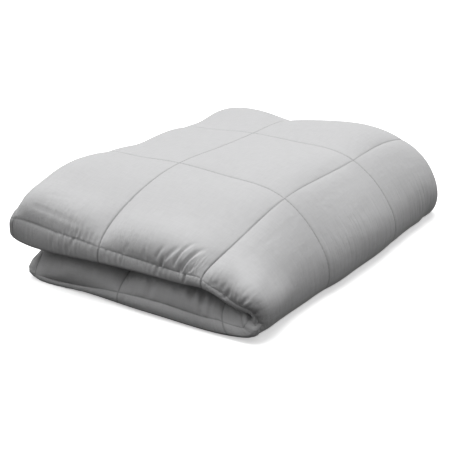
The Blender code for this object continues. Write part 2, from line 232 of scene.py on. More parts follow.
# the filled cloth's thickness, in centimetres
filling = {
    "sewn": 0.9,
    "upper": (3.3, 2.8),  # in the middle of a pocket: outer ply, inner ply
    "fold": (2.0, 1.2),
    "lower": (2.65, 2.65),
    "hemRoll": 1.05,
    "hemLip": 0.8,
    "lipRound": 0.35,
    "foldPress": 0.35,
    "foldEase": 3.0,  # how soon it thins beside the side fold
    "plyChange": 8.0,  # over how much of the back fold the outer ply becomes the inner one
    "puff": 0.85,  # below 1, the pockets are fuller beside their seams
    "loftSpread": 0.05,
    "loftWaves": ((2.1, 1.3), (1.7, 0.4)),  # across and along: turn from pocket to pocket, start
    "outerShow": 0.28,
    "innerShow": 0.42,
}


def hump(places, seams):
    share = np.zeros(len(places))
    for low, high in zip(seams[:-1], seams[1:]):
        inside = (places >= low) & (places <= high)
        t = (places[inside] - low) / (high - low)
        share[inside] = 4 * t * (1 - t)
    return share


def pocketLoft(cutU, cutV):
    across = np.clip((cutU - cut["hem"]) // cut["pocketWidth"], 0, cut["pocketsWide"] - 1)
    along = np.clip((cutV - seamsV[0]) // cut["pocketLength"], 0, cut["pocketsLong"] - 1)
    (turnU, startU), (turnV, startV) = filling["loftWaves"]
    wave = np.sin(turnU * across + startU)[:, None] * np.cos(turnV * along + startV)[None, :]
    return 1 + filling["loftSpread"] * wave


def outerShare(cutV):
    return np.clip(0.5 + cutV / filling["plyChange"], 0, 1)[None, :]


def crown(cutU, cutV):
    places = [seam2, seam2 + filling["foldEase"], seam3 - filling["foldEase"], seam3]
    outer, inner = (
        np.interp(cutU, places, [filling["upper"][i], filling["fold"][i], filling["fold"][i],
                                 filling["lower"][i]])[:, None] for i in (0, 1)
    )
    share = outerShare(cutV)
    return outer * share + inner * (1 - share)


def fromEdge(cutU, cutV):
    fromSide = np.minimum(cutU, flatWidth - cutU)[:, None] + 0 * cutV[None, :]
    fromEnd = (halfLength - np.abs(cutV))[None, :] + 0 * cutU[:, None]
    return np.minimum(fromSide, fromEnd)


def halfThickness(cutU, cutV):
    # the filled cloth's thickness on its show side and on its back side
    pillow = (hump(cutU, seamsU)[:, None] * hump(cutV, seamsV)[None, :]) ** filling["puff"]
    puff = (crown(cutU, cutV) - filling["sewn"]) * pillow * pocketLoft(cutU, cutV)
    share = np.where(cutV >= 0, filling["outerShow"], filling["innerShow"])[None, :]
    edge = fromEdge(cutU, cutV)
    hem = np.clip(edge / cut["hem"], 0, 1)
    roll = filling["hemLip"] + (filling["sewn"] - filling["hemLip"]) * hem
    roll += (filling["hemRoll"] - filling["sewn"]) * np.sin(math.pi * hem)
    inHem = hem < 1
    show = np.where(inHem, roll / 2, filling["sewn"] / 2 + puff * share)
    back = np.where(inHem, roll / 2, filling["sewn"] / 2 + puff * (1 - share))
    press = 1 - filling["foldPress"] * hump(cutU, [seam2, seam3])[:, None] * (1 - outerShare(cutV))
    return show * press, back * press


# rows of points on the cut, in centimetres: (from, to, widest step, whether rows crowd to seams)
meshRows = {
    "u": ((0, seam1, 0.19, True), (seam1, 28, 0.18, True), (28, 36, 0.11, False),
          (36, seam3, 0.165, True), (seam3, 68, 0.26, True), (68, flatWidth, 0.6, True)),
    "v": ((-halfLength, seamsV[0], 0.25, True), (seamsV[0], -54, 0.35, True),
          (-54, seamsV[1], 1.5, False), (seamsV[1], -4, 2.4, False), (-4, 4, 0.6, True),
          (4, seamsV[5], 1.1, True), (seamsV[5], 53, 0.4, True),
          (53, seamsV[6], 0.25, True), (seamsV[6], halfLength, 0.24, True)),
    "nearSeam": (0.07, 0.16, 0.28, 0.45, 0.7),
    "backEvery": 5,  # the back side keeps one row in so many
}


def rowPlaces(spans, seams):
    # even rows, a row on each seam, and closer ones beside it
    places = set()
    for low, high, step, crowded in spans:
        stops = sorted({low, high, *(s for s in seams if low < s < high)})
        for start, end in zip(stops[:-1], stops[1:]):
            close = meshRows["nearSeam"] if crowded else ()
            after = [start + d for d in close if start in seams]
            before = [end - d for d in close if end in seams]
            first, last = max([start, *after]), min([end, *before])
            count = math.ceil((last - first) / step)
            places |= {start, end, *after, *before, *np.linspace(first, last, count + 1)}
    return np.array(sorted({round(float(x), 4) for x in places}))


def coarseRows(places, every, kept):
    picked = [i for i in range(len(places)) if i % every == 0 or i == len(places) - 1]
    picked += [int(np.argmin(abs(places - k))) for k in kept]
    return sorted(set(picked))


# where the hems turn under: how far each seam slips along the surface towards its edge
hemTurn = {
    "upperPlaces": (0, 9, 16, 20, 24, 29, 33, 36.5, 38.2, 40.5, 42.5, 44.5, 47.5, 51, 54),
    "upperSlips": (-0.40, -0.32, -0.3, -0.25, -0.18, -0.2, -0.33, -0.5, 0.1, 0.3, 1.0, 1.5, 1.5, 0.8, 0),
    "lowerPlaces": (45, 48.3, 49.9, 51.2, 52.5, 55, 74, 79, 86),
    "lowerSlips": (2.0, 2.1, 1.85, 1.4, 0.9, 0, 0, 0.4, 0.6),
    "slipFrom": 48.0,
}

# where the cloth has settled: place on the cut, how far that spreads, and the move; both plies
# lie on each other, so both move
settled = {
    "left, behind the front row": (6, 31, 7, 5, 0, 0, -0.62),
    "left, back": (6, 14.5, 8, 5, 0, 0, -0.95),
    "left shoulder": (4.5, 54, 5, 4, 0, 0, -0.5),
    "top of the back fold": (22, 9.5, 9, 7, 0, 0, 0.62),
    "side fold, back": (41, 3, 6, 7, 0.55, 0.75, 0),
    "side fold, foot at the back": (50.8, 6, 2.5, 2.2, -0.7, 0, 0),
    "side fold, foot": (50.6, 22, 6, 9, 0.65, 0, 0),
    "side fold, foot, further on": (50.6, 36, 6, 6, 0.5, 0, 0),
    "side fold, side": (46.3, 27, 3.4, 13, 0.55, 0, 0),
    "side fold, foot at the front": (50.3, 56, 3, 3.5, 0.4, 0, 0),
    "hem at the left end": (0.5, 60, 2.5, 1.6, -0.4, 0, -0.1),
    "hem beside the second seam": (37, 61, 3, 1.5, 0, 0, 0.2),
    "brow of the third pocket": (44.5, 56.6, 3.0, 3.2, 0.2, -0.8, 0.9),
    "front corner, side": (47.0, 54.0, 2.2, 4.2, 0.75, -0.5, 0.3),
    "second seam's front end": (37, 59, 3.4, 4.2, -1.0, 0, 0.18),
    "side fold, shoulder": (42.3, 24, 3.0, 14, 0.1, 0, 0.35),
    "left end's front seam": (12, 60, 8, 2.6, 0, -0.6, 0.17),
    "lower hem's edge": (76, 61.2, 15, 1.5, 0, 0.35, -0.1),
    "upper hem at the corner": (46.3, 59.5, 2.2, 2.5, 0.3, 0, 1.1),
    "lower hem at the corner": (50.3, 60.5, 3.0, 2.4, 0.45, -0.3, 0.1),
    "hem beside the side fold": (41, 60, 3, 3, 0, 0, -0.7),
    "lower hem": (67, 60, 8, 3, 0, -0.6, 0),
    "lower hem, free end": (91.4, 56.3, 5, 3, -0.3, 0, 0),
    "lower hem, free corner": (91.4, 61, 2.2, 2.2, 0.5, 0.6, 0),
    "lower hem, drop": (88, 58.5, 7, 1.5, 0, 0, -0.15),
    "upper hem's edge": (20, 61.3, 24, 1.2, 0, -0.45, 0.05),
}

# at the front of the side fold the lower hem flares out, and above it the inner ply is drawn
# back and leaves a hollow
sideFoldEnd = {
    "flare": 1.7,
    "flareAt": 50.0,
    "flareWide": 4.0,
    "flareSquare": 4,  # how evenly it spreads, and how late it rises
    "flareLate": 1.5,
    "flareFrom": 57.6,
    "hollow": 3.0,
    "hollowFrom": 42.5,
    "hollowTo": 49.6,
    "hollowBehind": 54.5,
    "hollowEdge": 1.5,
}


def smooth(share):
    share = np.clip(share, 0, 1)
    return share * share * (3 - 2 * share)


def hemSlip(cutU, cutV):
    # how far each point of the cut has slipped along the surface
    upper = np.interp(cutU, hemTurn["upperPlaces"], hemTurn["upperSlips"])[:, None]
    lower = np.interp(cutU, hemTurn["lowerPlaces"], hemTurn["lowerSlips"])[:, None]
    toSeam = smooth((abs(cutV) - hemTurn["slipFrom"]) / (seamsV[6] - hemTurn["slipFrom"]))
    toEdge = np.clip((halfLength - abs(cutV)) / cut["hem"], 0, 1)
    return np.where(cutV > 0, upper, -lower) * (toSeam * toEdge)[None, :]


def slide(surface, cutV, slip):
    moved = surface.copy()
    for i in np.flatnonzero(slip.any(axis=1)):
        for axis in range(3):
            moved[i, :, axis] = np.interp(cutV + slip[i], cutV, surface[i, :, axis])
    return moved


def settle(middle, cutU, cutV):
    for atU, atV, spreadU, spreadV, *move in settled.values():
        share = np.exp(-((cutU - atU) / spreadU) ** 2)[:, None]
        share = share * np.exp(-((abs(cutV) - atV) / spreadV) ** 2)[None, :]
        middle += share[:, :, None] * move


def openSideFold(middle, cutU, cutV):
    end = sideFoldEnd
    flare = np.exp(-((cutU - end["flareAt"]) / end["flareWide"]) ** end["flareSquare"])[:, None]
    toEdge = np.clip((-cutV - end["flareFrom"]) / (halfLength - end["flareFrom"]), 0, 1)
    middle[:, :, 0] += end["flare"] * flare * toEdge[None, :] ** end["flareLate"]
    inside = smooth((cutU - end["hollowFrom"]) / end["hollowEdge"])
    inside *= smooth((end["hollowTo"] - cutU) / end["hollowEdge"])
    deep = smooth((-cutV - end["hollowBehind"]) / (seamsV[6] - end["hollowBehind"]))
    middle[:, :, 1] += end["hollow"] * inside[:, None] * deep[None, :]


# gathers that the stitching draws up beside a seam, in centimetres: the seam's place, from and
# to along it, the side that they lie on, then pitch, reach and height
gathersAlongU = {
    "front hem, left pocket": (seamsV[6], 2, 19.4, -1, 0.80, 1.9, 0.065),
    "front hem, second pocket": (seamsV[6], 19.8, 37, -1, 0.90, 2.2, 0.060),
    "front hem, third pocket": (seamsV[6], 37.2, 45.5, -1, 0.78, 1.7, 0.060),
    "front hem, side fold": (seamsV[6], 45.5, 54, -1, 0.90, 1.4, 0.050),
    "front hem, strip": (seamsV[6], 0.5, 55, 1, 0.80, 3.2, 0.070),
    "lower hem": (seamsV[0], 46, 91, 1, 2.10, 3.2, 0.080),
    "lower hem, strip": (seamsV[0], 46, 91, -1, 2.00, 2.2, 0.050),
    "front row of pockets, behind": (seamsV[5], 2, 54, -1, 0.85, 1.0, 0.018),
    "front row of pockets, before": (seamsV[5], 2, 54, 1, 0.95, 1.0, 0.018),
    "back row of pockets, behind": (seamsV[4], 2, 54, -1, 0.90, 1.0, 0.018),
    "back row of pockets, before": (seamsV[4], 2, 54, 1, 0.80, 1.0, 0.018),
    "back fold, above": (seamsV[3], 0, 91, 1, 0.95, 2.4, 0.040),
    "back fold, below": (seamsV[3], 0, 91, -1, 0.85, 2.4, 0.040),
}
gathersAlongV = {
    "left hem": (seamsU[0], -61, 61, 1, 1.55, 1.6, 0.060),
    "left hem, strip": (seamsU[0], -61, 61, -1, 1.60, 2.2, 0.050),
    "first seam, left": (seam1, -61, 61, -1, 1.50, 1.2, 0.030),
    "first seam, right": (seam1, -61, 61, 1, 1.65, 1.2, 0.028),
    "second seam, left": (seam2, -61, 61, -1, 1.60, 1.4, 0.034),
    "second seam, right": (seam2, -61, 61, 1, 1.50, 1.2, 0.030),
    "third seam": (seam3, -61, 61, 1, 1.60, 1.0, 0.030),
    "fourth seam, left": (seam4, -61, 61, -1, 1.60, 1.0, 0.030),
    "fourth seam, right": (seam4, -61, 61, 1, 1.70, 1.0, 0.030),
    "right hem": (seamsU[5], -61, 61, -1, 1.55, 1.6, 0.060),
    "right hem, strip": (seamsU[5], -61, 61, 1, 1.65, 2.2, 0.050),
}

# how a gather's ridges wander from even ones; lengths "over" are in pitches
gatherShape = {
    "wander": 0.45,
    "wanderOver": 2.2,
    "size": (0.65, 0.6),  # middle and swing, kept between the two below
    "sizeBetween": (0.1, 1.3),
    "sizeOver": 2.9,
    "reach": (0.75, 0.35),
    "reachOver": 1.7,
    "ends": 0.8,  # centimetres, as is the next
    "rise": 0.3,
    "fall": 1.5,
}

# single creases, in centimetres on the cut: from u, v, to u, v, then bow, width and depth
creases = {
    "left brow": (6.2, 57.0, 18.6, 57.1, 0.0, 0.16, 0.10),
    "left pocket, long": (7.6, 55.2, 13.0, 54.0, 0.1, 0.22, 0.05),
    "left pocket, faint": (9.6, 53.0, 16.4, 51.4, 0.1, 0.25, 0.035),
    "over the first seam": (17.8, 51.0, 21.4, 50.4, 0.0, 0.20, 0.06),
    "left gather 1": (13.9, 58.6, 13.6, 57.3, 0.0, 0.20, 0.10),
    "left gather 2": (15.4, 58.5, 15.3, 57.3, 0.0, 0.20, 0.12),
    "left gather 3": (16.3, 58.5, 16.2, 57.3, 0.0, 0.17, 0.09),
    "left gather 4": (17.1, 58.5, 16.8, 57.2, 0.1, 0.17, 0.10),
    "left gather 5": (18.0, 58.5, 17.7, 57.2, 0.1, 0.17, 0.09),
    "left gather 6": (19.0, 58.4, 18.9, 57.3, 0.0, 0.17, 0.06),
    "second pocket 1": (23.7, 58.7, 24.1, 57.0, -0.1, 0.20, 0.14),
    "second pocket 2": (26.7, 58.2, 27.0, 57.2, 0.0, 0.20, 0.07),
    "second pocket 3": (27.2, 58.5, 27.1, 57.8, 0.0, 0.18, 0.08),
    "deep 1": (28.8, 58.0, 29.8, 56.1, -0.10, 0.17, 0.18),
    "deep 2": (29.5, 58.9, 29.9, 57.2, 0.10, 0.15, 0.28),
    "deep 3": (30.2, 57.8, 32.0, 55.4, -0.12, 0.19, 0.20),
    "deep 4": (30.7, 58.2, 31.0, 57.2, 0.00, 0.13, 0.07),
    "deep 5": (31.4, 57.9, 31.8, 56.5, 0.00, 0.13, 0.08),
    "deep 6": (31.6, 58.3, 33.2, 54.3, -0.22, 0.15, 0.30),
    "deep 7": (32.4, 58.9, 32.7, 57.3, 0.05, 0.14, 0.30),
    "deep 8": (32.8, 58.9, 34.8, 54.4, -0.30, 0.21, 0.50),
    "deep 9": (34.4, 58.4, 34.9, 57.0, 0.00, 0.18, 0.16),
    "third pocket 1": (38.6, 58.6, 38.9, 57.4, 0.0, 0.17, 0.10),
    "third pocket 2": (39.8, 58.3, 40.1, 57.0, 0.0, 0.17, 0.12),
    "third pocket 3": (40.6, 58.9, 41.3, 57.2, -0.1, 0.18, 0.22),
    "third pocket 4": (42.4, 58.0, 43.0, 57.0, 0.0, 0.17, 0.10),
    "third pocket 5": (43.5, 58.4, 44.3, 56.9, -0.1, 0.19, 0.24),
    "third pocket 6": (44.3, 58.6, 44.9, 57.3, 0.0, 0.18, 0.12),
    "third pocket 7": (46.5, 59.0, 46.1, 58.0, 0.0, 0.17, 0.26),
    "side fold": (47.9, 60.4, 48.1, 57.2, 0.1, 0.20, 0.22),
    "strip 1": (29.3, 58.8, 29.5, 60.9, 0.0, 0.18, 0.14),
    "strip 2": (34.0, 58.8, 33.8, 60.9, -0.1, 0.17, 0.24),
    "strip 3": (40.6, 58.8, 40.6, 60.9, 0.0, 0.18, 0.16),
    "strip 4": (12.1, 58.8, 11.7, 60.6, 0.0, 0.20, 0.10),
    "strip 5": (15.3, 58.8, 14.4, 60.8, 0.0, 0.20, 0.13),
    "strip 6": (20.9, 58.8, 21.2, 60.8, 0.0, 0.20, 0.10),
    "strip 7": (23.9, 58.8, 23.7, 60.8, 0.0, 0.18, 0.08),
    "lower 1": (66.8, -56.0, 65.0, -57.8, 0.1, 0.34, 0.40),
    "lower 2": (61.9, -56.0, 61.2, -57.6, 0.0, 0.36, 0.26),
    "lower 3": (59.5, -55.0, 58.6, -57.7, 0.1, 0.36, 0.60),
    "lower 4": (57.9, -55.0, 56.8, -57.8, 0.1, 0.34, 0.55),
    "lower 5": (56.1, -55.2, 55.8, -57.4, 0.0, 0.34, 0.26),
    "lower 6": (74.4, -55.6, 74.0, -57.7, 0.0, 0.60, 0.22),
    "lower 7": (76.6, -55.6, 76.5, -57.8, 0.0, 0.60, 0.26),
    "lower 8": (81.8, -55.2, 81.1, -57.4, 0.1, 0.60, 0.22),
    "lower 9": (84.1, -55.2, 83.0, -57.4, 0.1, 0.60, 0.26),
    "lower 10": (88.6, -55.2, 87.2, -57.4, 0.1, 0.60, 0.22),
}

# a crease's section, in its own widths, and its ends, as shares of its length
creaseShape = {
    "narrow": 0.75,  # where it starts, and how much it widens
    "widening": 0.5,
    "flanks": (1.2, 1.4),
    "ridge": 0.25,
    "ridgeAt": 2.3,
    "ridgeWide": 1.6,
    "startEase": 0.1,
    "endEase": 0.55,
}

# the groove that the stitching draws the cloth into, and the small unevenness of the filling
relief = {
    "seed": 7,
    "lineValues": 512,
    "sheetValues": 256,
    "sheetShift": 60,
    "grooveAlong": 0.04,  # the seams that run from front to back
    "grooveFront": 0.10,  # and how much deeper they are where they run down to the front hem
    "grooveAcross": 0.08,  # the seams that run from side to side
    "grooveHem": 0.03,  # the front hems
    "grooveWide": 0.09,
    "grooveSharp": 1.3,
    "grooveFrontRun": 15,
    "grooveUneven": 0.25,
    "grooveUnevenAlong": 3.1,
    "grooveUnevenAcross": 2.7,
    "lumps": 0.05,
    "lumpSize": 4.5,
    "foldLines": 0.05,  # soft lines down the low part of the side fold
    "foldLinePitch": 2.6,
    "foldLineLength": 8.0,
    "foldLinesFrom": (seam2 + 5, 4.0),  # across the cut, and over how far they begin
    "foldLinesTo": (seam3 + 1, 3.0),
    "clothLines": 0.012,
    "clothLinePitch": 0.8,
    "clothLineLength": 5.0,
}

# each uneven thing draws its own values; the tables' rows take every fifth number
seeds = {
    "lumps": 1,
    "foldLines": 2,
    "clothAlong": 3,
    "clothAcross": 4,
    "grooveAlong": 40,
    "grooveAcross": 60,
    "brows": 80,
    "gathersAlongU": 100,
    "gathersAlongV": 300,
    "rowStep": 5,
}

# the cloth stands proud where it turns down to a hem: how far, where, how far behind that, how
# steeply it drops, and where along the hem it starts and ends
brows = {
    "upper": (1.05, 55.7, 3.0, 1.4, 0, seam3 - 4),
    "lower": (1.60, -55.4, 3.2, 1.15, seam3 - 1, flatWidth),
}
browShape = {
    "uneven": 0.2,
    "unevenOver": 5.0,
    "startEase": 3.0,
    "endEase": 8.0,
}


def waver(places, seed):
    # smooth uneven values from -1 to 1 along a line
    count = relief["lineValues"]
    values = np.random.default_rng(relief["seed"] + seed).uniform(-1, 1, count)
    cell = np.floor(places).astype(int)
    before, after = values[cell % count], values[(cell + 1) % count]
    return before + (after - before) * smooth(places - cell)


def unevenness(acrossPlaces, alongPlaces, seed):
    # the same over a sheet
    count = relief["sheetValues"]
    values = np.random.default_rng(relief["seed"] + seed).uniform(-1, 1, (count, count))
    alongPlaces = alongPlaces + relief["sheetShift"]
    i, j = np.floor(acrossPlaces).astype(int), np.floor(alongPlaces).astype(int)
    s, t = smooth(acrossPlaces - i), smooth(alongPlaces - j)
    i, j, nextI, nextJ = i % count, j % count, (i + 1) % count, (j + 1) % count
    near = values[i, j] * (1 - t) + values[i, nextJ] * t
    far = values[nextI, j] * (1 - t) + values[nextI, nextJ] * t
    return near * (1 - s) + far * s


def gathered(along, off, row, seed):
    # small ridges square to a seam, that start at it and die out
    seamAt, low, high, side, pitch, reach, height = row
    shape = gatherShape
    away = np.maximum((off - seamAt) * side, 0)
    wander = shape["wander"] * waver(along / (shape["wanderOver"] * pitch), seed)
    wave = np.cos(2 * math.pi * (along / pitch + wander))
    middle, swing = shape["size"]
    size = np.clip(middle + swing * waver(along / (shape["sizeOver"] * pitch), seed + 1),
                   *shape["sizeBetween"])
    middle, swing = shape["reach"]
    length = reach * (middle + swing * waver(along / (shape["reachOver"] * pitch), seed + 2))
    ends = smooth((along - low) / shape["ends"]) * smooth((high - along) / shape["ends"])
    fall = np.tanh(away / shape["rise"]) * np.exp(-(away / length) ** shape["fall"])
    return height * size * ends * wave * fall


def creased(placeU, placeV, row):
    # a soft trough with a softer ridge along one side of it
    fromU, fromV, toU, toV, bow, width, depth = row
    runU, runV = toU - fromU, toV - fromV
    length = math.hypot(runU, runV)
    along = ((placeU - fromU) * runU + (placeV - fromV) * runV) / length**2
    side = ((placeV - fromV) * runU - (placeU - fromU) * runV) / length
    shape = creaseShape
    wide = width * (shape["narrow"] + shape["widening"] * np.clip(along, 0, 1))
    side = (side - bow * 4 * np.clip(along * (1 - along), 0, None)) / wide - 1
    ends = smooth(along / shape["startEase"]) * smooth((1 - along) / shape["endEase"])
    trough = np.exp(-(side / np.where(side < 0, *shape["flanks"])) ** 2)
    ridge = shape["ridge"] * np.exp(-((side - shape["ridgeAt"]) / shape["ridgeWide"]) ** 2)
    return depth * ends * (ridge - trough)


def oneGroove(places, seam, along, seed, over):
    near = np.exp(-(np.abs(places - seam) / relief["grooveWide"]) ** relief["grooveSharp"])
    return near, 1 + relief["grooveUneven"] * waver(along / over, seed)


def seamGroove(cutU, cutV):
    # narrow grooves on the seams
    toFront = smooth((cutV - seamsV[5]) / relief["grooveFrontRun"])
    deeper = relief["grooveAlong"] + relief["grooveFront"] * toFront
    groove = np.zeros((len(cutU), len(cutV)))
    for i, seam in enumerate(seamsU):
        near, uneven = oneGroove(cutU, seam, cutV, seeds["grooveAlong"] + i, relief["grooveUnevenAlong"])
        groove = np.maximum(groove, near[:, None] * (deeper * uneven)[None, :])
    for i, seam in enumerate(seamsV):
        near, uneven = oneGroove(cutV, seam, cutU, seeds["grooveAcross"] + i, relief["grooveUnevenAcross"])
        depth = relief["grooveHem" if seam in (seamsV[0], seamsV[-1]) else "grooveAcross"]
        groove = np.maximum(groove, (depth * uneven)[:, None] * near[None, :])
    return groove


def browBulge(cutU, cutV):
    shape = browShape
    bulge = np.zeros((len(cutU), len(cutV)))
    for high, at, behindIt, steep, start, end in brows.values():
        places, middle = (cutV, at) if at > 0 else (-cutV, -at)
        behind = np.exp(-((middle - places) / behindIt) ** 2)
        before = np.clip((seamsV[6] - places) / (seamsV[6] - middle), 0, 1)
        along = np.where(places < middle, behind, (before * (2 - before)) ** steep)
        across = hump(cutU, seamsU) ** filling["puff"]
        across *= 1 + shape["uneven"] * waver(cutU / shape["unevenOver"], seeds["brows"])
        across *= smooth((cutU - start) / shape["startEase"]) * smooth((end - cutU) / shape["endEase"])
        bulge += high * across[:, None] * along[None, :]
    return bulge


def sideFoldShare(placeU, placeV, begin):
    # how far a place lies on the low part of the side fold
    (start, startOver), (end, endOver) = begin, relief["foldLinesTo"]
    return smooth((placeU - start) / startOver) * smooth((end - placeU) / endOver) * (placeV > 0)


def clothRelief(cutU, cutV):
    # what the show side adds to the plain filled form
    placeU, placeV = np.meshgrid(cutU, cutV, indexing="ij")
    pillow = np.sqrt(hump(cutU, seamsU)[:, None] * hump(cutV, seamsV)[None, :])
    height = browBulge(cutU, cutV) - seamGroove(cutU, cutV)
    for i, row in enumerate(gathersAlongU.values()):
        height += gathered(placeU, placeV, row, seeds["gathersAlongU"] + seeds["rowStep"] * i)
    for i, row in enumerate(gathersAlongV.values()):
        height += gathered(placeV, placeU, row, seeds["gathersAlongV"] + seeds["rowStep"] * i)
    for row in creases.values():
        height += creased(placeU, placeV, row)
    lumps = unevenness(placeU / relief["lumpSize"], placeV / relief["lumpSize"], seeds["lumps"])
    lines = unevenness(placeU / relief["foldLineLength"], placeV / relief["foldLinePitch"],
                       seeds["foldLines"])
    low = sideFoldShare(placeU, placeV, relief["foldLinesFrom"])
    pitch, length = relief["clothLinePitch"], relief["clothLineLength"]
    fine = unevenness(placeU / pitch, placeV / length, seeds["clothAlong"])
    fine += unevenness(placeU / length, placeV / pitch, seeds["clothAcross"])
    height += relief["lumps"] * lumps * pillow
    height += relief["foldLines"] * lines * low * pillow
    return height + relief["clothLines"] * fine * pillow


def blanketMesh():
    cutU = rowPlaces(meshRows["u"], seamsU)
    cutV = rowPlaces(meshRows["v"], seamsV)
    slip = hemSlip(cutU, cutV)
    middle = slide(seamSurface(cutU, cutV), cutV, slip)
    settle(middle, cutU, cutV)
    openSideFold(middle, cutU, cutV)
    out = outwards(middle, cutU, cutV)
    showHalf, backHalf = halfThickness(cutU, cutV)
    show = middle + out * (showHalf + clothRelief(cutU, cutV))[:, :, None]
    back = middle - out * backHalf[:, :, None]
    return cutU, cutV, middle, out, show, back


def closedShell(cutU, cutV, middle, show, back):
    # show side with every row, back side with fewer, joined round the hem's edge
    nu, nv = len(cutU), len(cutV)
    rowsU = coarseRows(cutU, meshRows["backEvery"], seamsU)
    rowsV = coarseRows(cutV, meshRows["backEvery"], seamsV)
    across, along = np.gradient(middle, cutU, axis=0), np.gradient(middle, cutV, axis=1)
    border = [(i, 0) for i in range(nu)] + [(nu - 1, j) for j in range(1, nv)]
    border += [(i, nv - 1) for i in range(nu - 2, -1, -1)] + [(0, j) for j in range(nv - 2, 0, -1)]
    lips = []
    for i, j in border:
        away = across[i, j] * ((i == nu - 1) - (i == 0)) + along[i, j] * ((j == nv - 1) - (j == 0))
        lips.append(middle[i, j] + away / np.linalg.norm(away) * filling["lipRound"])
    backPoints = back[np.ix_(rowsU, rowsV)]
    points = np.concatenate([show.reshape(-1, 3), backPoints.reshape(-1, 3), lips])
    cutPlaces = np.stack(np.meshgrid(cutU, cutV, indexing="ij"), axis=2)
    places = [cutPlaces.reshape(-1, 2), cutPlaces[np.ix_(rowsU, rowsV)].reshape(-1, 2)]
    places.append(np.array([cutPlaces[i, j] for i, j in border]))
    mu, mv, low, lipStart = len(rowsU), len(rowsV), nu * nv, nu * nv + len(rowsU) * len(rowsV)
    i, j = np.meshgrid(np.arange(nu - 1), np.arange(nv - 1), indexing="ij")
    a = (i * nv + j).ravel()
    faces = np.stack([a, a + 1, a + nv + 1, a + nv], 1).tolist()
    i, j = np.meshgrid(np.arange(mu - 1), np.arange(mv - 1), indexing="ij")
    a = low + (i * mv + j).ravel()
    faces += np.stack([a, a + mv, a + mv + 1, a + 1], 1).tolist()
    placeU, placeV = {r: k for k, r in enumerate(rowsU)}, {r: k for k, r in enumerate(rowsV)}
    count, run = len(border), []
    for k in range(count + 1):
        i, j = border[k % count]
        if k < count:
            p, q = border[(k + 1) % count]
            faces.append((i * nv + j, p * nv + q, lipStart + (k + 1) % count, lipStart + k))
        run.append(lipStart + k % count)
        if i in placeU and j in placeV:
            here = low + placeU[i] * mv + placeV[j]
            if len(run) > 1:
                faces.append((*run, here, before))
            before, run = here, [run[-1]]
    return points, faces, np.concatenate(places)


# the cloth and the thread; each noise has its scale per centimetre across and along the cut, then
# its detail, and then its depth in metres where it is a form
cotton = {
    "colour": (0.52, 0.52, 0.525),
    "roughness": 0.9,
    "specular": 0.2,
    "sheen": 0.06,
    "sheenRoughness": 0.5,
    "heather": 0.05,  # how far the yarn's shade wanders, up and down
    "heatherAcross": (0.45, 4.0, 2),
    "heatherAlong": (4.0, 0.45, 2),
    "weavePitch": 0.07,  # centimetres from one yarn to the next but one
    "weaveDepth": 0.00006,
    "crumple": (1.1, 0.8, 4, 0.0006),
    "sideLines": (0.16, 1.3, 2, 0.003),
    "hemLines": (1.9, 0.25, 2, 0.0018),
    "paintedSeamShadow": 0.35,  # painted shadow: how much darker the cloth's colour is made in each stitched groove
}
thread = {
    "colour": (0.33, 0.33, 0.335),
    "roughness": 0.7,
}


def mathNode(tree, operation, first, second):
    node = tree.nodes.new("ShaderNodeMath")
    node.operation = operation
    for socket, value in zip(node.inputs, (first, second)):
        if isinstance(value, (int, float)):
            socket.default_value = value
        else:
            tree.links.new(value, socket)
    return node.outputs[0]


def stretchedNoise(tree, place, scaleU, scaleV, detail):
    scaled = tree.nodes.new("ShaderNodeMapping")
    scaled.inputs["Scale"].default_value = (scaleU, scaleV, 1)
    noise = tree.nodes.new("ShaderNodeTexNoise")
    noise.inputs["Scale"].default_value = 1
    noise.inputs["Detail"].default_value = detail
    tree.links.new(place, scaled.inputs["Vector"])
    tree.links.new(scaled.outputs[0], noise.inputs["Vector"])
    return noise.outputs["Fac"]


def attributeNode(tree, name):
    node = tree.nodes.new("ShaderNodeAttribute")
    node.attribute_name = name
    return node


def splitNode(tree, vector):
    node = tree.nodes.new("ShaderNodeSeparateXYZ")
    tree.links.new(vector, node.inputs[0])
    return node.outputs


def heatherAndSeamShadow(tree, place):
    # the yarns' heather, and a painted shadow darkening the colour along each seam's groove
    shade = mathNode(tree, "ADD", stretchedNoise(tree, place, *cotton["heatherAcross"]),
                     stretchedNoise(tree, place, *cotton["heatherAlong"]))
    shade = mathNode(tree, "MULTIPLY_ADD", shade, 2 * cotton["heather"])
    shade.node.inputs[2].default_value = 1 - 2 * cotton["heather"]
    # painted shadow along the seams' grooves, darkening the cloth's colour there
    sewn = attributeNode(tree, "seamShadowMask").outputs["Fac"]
    darker = mathNode(tree, "MULTIPLY", sewn, cotton["paintedSeamShadow"])
    return mathNode(tree, "MULTIPLY", shade, mathNode(tree, "SUBTRACT", 1.0, darker))


def cottonHeights(tree, place):
    # the forms too fine for the mesh: pairs of a height and its depth
    across, along, _ = splitNode(tree, place)
    turn = 2 * math.pi / cotton["weavePitch"]
    waves = [mathNode(tree, "SINE", mathNode(tree, "MULTIPLY", way, turn), 0) for way in (across, along)]
    heights = [(mathNode(tree, "MULTIPLY", *waves), cotton["weaveDepth"])]
    atSide, atHems, _ = splitNode(tree, attributeNode(tree, "slack").outputs["Vector"])
    for name, share in (("crumple", 1.0), ("sideLines", atSide), ("hemLines", atHems)):
        *scales, detail, depth = cotton[name]
        noise = stretchedNoise(tree, place, *scales, detail)
        heights.append((mathNode(tree, "MULTIPLY", noise, share), depth))
    return heights


